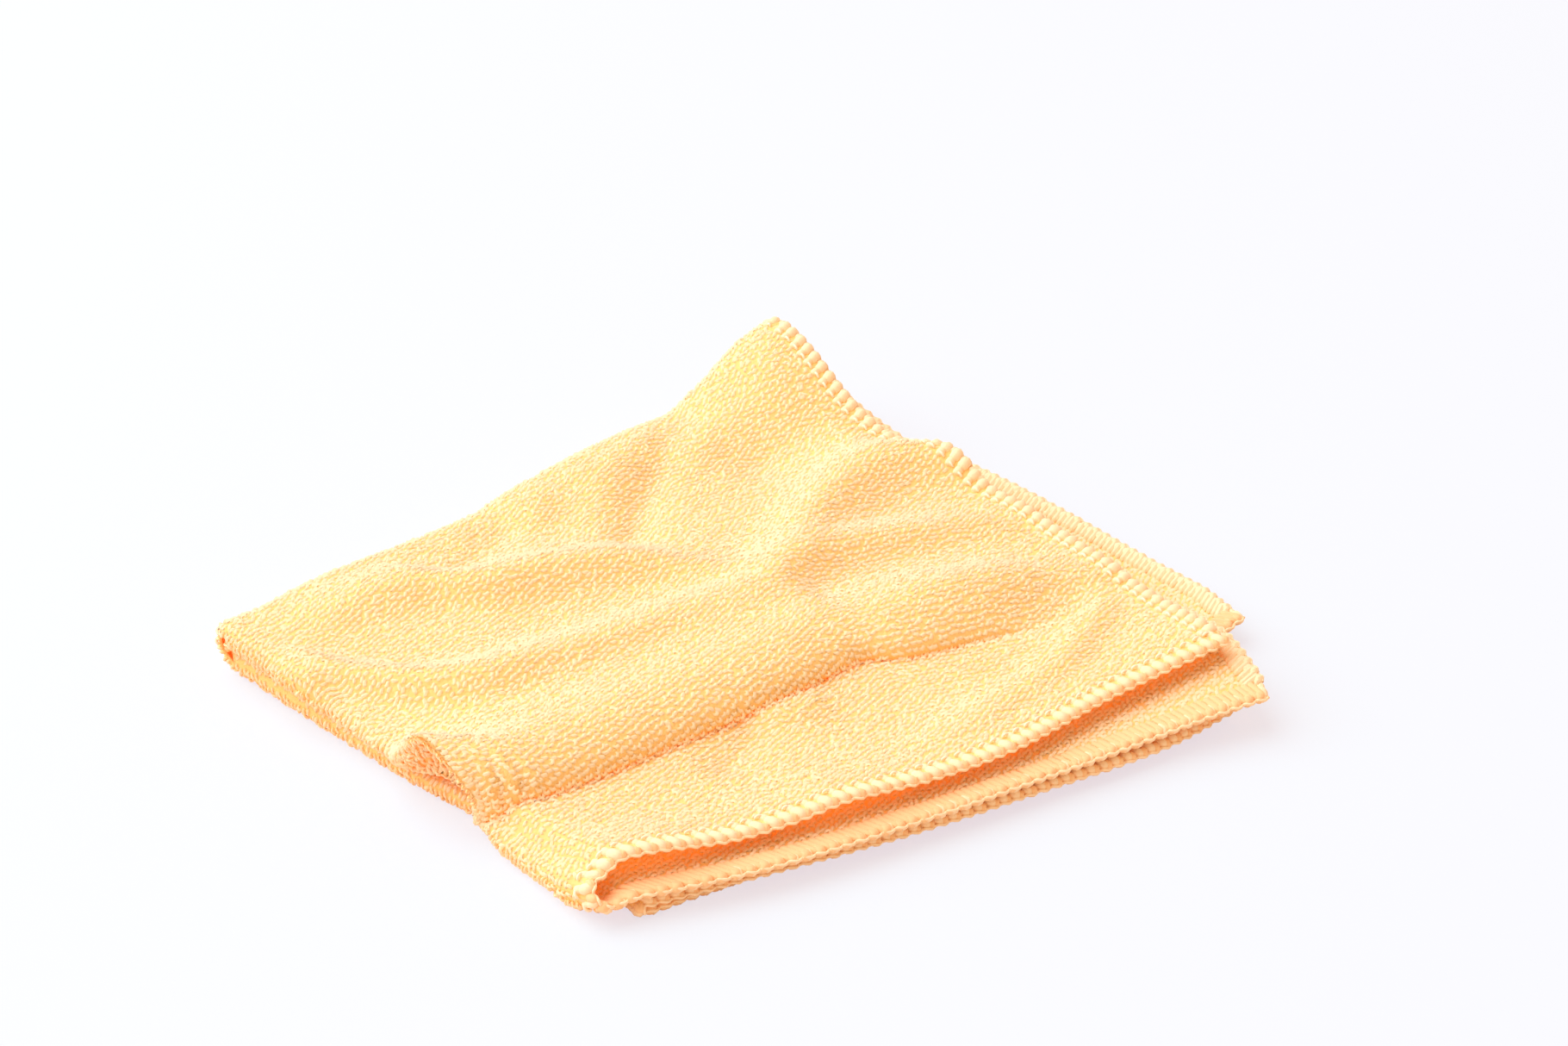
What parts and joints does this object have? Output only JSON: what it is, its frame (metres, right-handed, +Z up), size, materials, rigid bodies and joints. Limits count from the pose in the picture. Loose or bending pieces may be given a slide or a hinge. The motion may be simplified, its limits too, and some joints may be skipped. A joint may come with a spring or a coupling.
{
  "type": "cleaning rag",
  "caption": "Square terry cleaning rag with overlocked hems, folded in quarters and lying flat with a soft pinch across the top; the upper half opens about the back fold.",
  "frame": {"origin": "on the table, under the middle of the folded rag's bounding box", "axes": "+Z up, +X from the side fold to the open side, +Y from the open front to the back fold"},
  "size_m": [0.177, 0.1668, 0.028],
  "materials": {
    "terry": "looped pile, matt",
    "overlock_thread": "satin thread"
  },
  "bodies": {
    "lower_half": {"lower_half_cloth": "terry", "lower_front_hem": "overlock_thread", "layer_1_side_hem": "overlock_thread", "layer_2_side_hem": "overlock_thread", "back_fold_cloth": "terry", "outer_back_hem": "overlock_thread", "inner_back_hem": "overlock_thread"},
    "upper_half": {"upper_half_cloth": "terry", "upper_front_hem": "overlock_thread", "layer_3_side_hem": "overlock_thread", "layer_4_side_hem": "overlock_thread"}
  },
  "joints": [
    {"name": "unfold", "type": "hinge", "parent": "lower_half", "child": "upper_half", "pos_m": [0.067, 0.0764, 0.0146], "axis": [-0.9916, -0.118, -0.0531], "range_deg": [0, 175], "deforming": ["back_fold_cloth", "outer_back_hem", "inner_back_hem"]}
  ]
}
